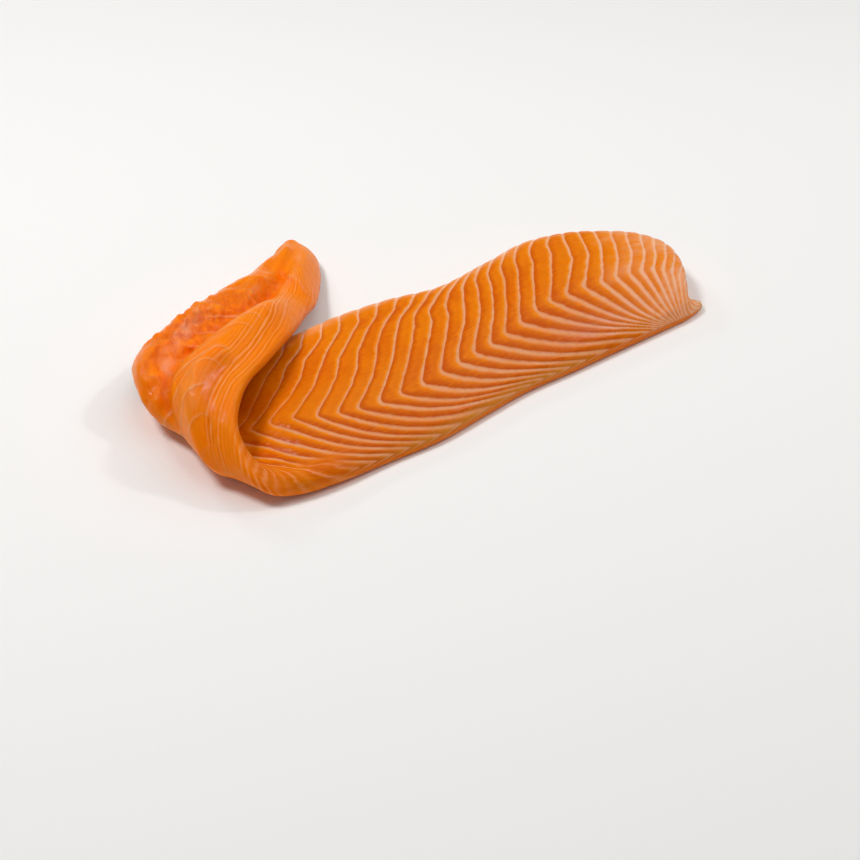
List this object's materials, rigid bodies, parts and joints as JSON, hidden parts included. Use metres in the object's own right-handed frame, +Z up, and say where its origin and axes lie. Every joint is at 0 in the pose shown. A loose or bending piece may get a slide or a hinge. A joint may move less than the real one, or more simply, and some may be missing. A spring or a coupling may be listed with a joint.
{
  "type": "raw salmon fillet",
  "caption": "Skinless raw salmon fillet lying flat, flesh side up, with its thin tail folded up and back over it; orange flesh with pale chevron lines.",
  "frame": {"origin": "centre of the footprint's bounding box, on the surface that the fillet lies on", "axes": "+X along the body from the fold to the thick end, +Y from the belly edge to the back, +Z up"},
  "size_m": [0.3212, 0.1956, 0.0468],
  "materials": {
    "raw_salmon": "wet raw fish flesh: soft, slightly see-through orange with pale fat lines and a moist sheen"
  },
  "bodies": {
    "root": {"fillet": "raw_salmon"}
  },
  "joints": []
}
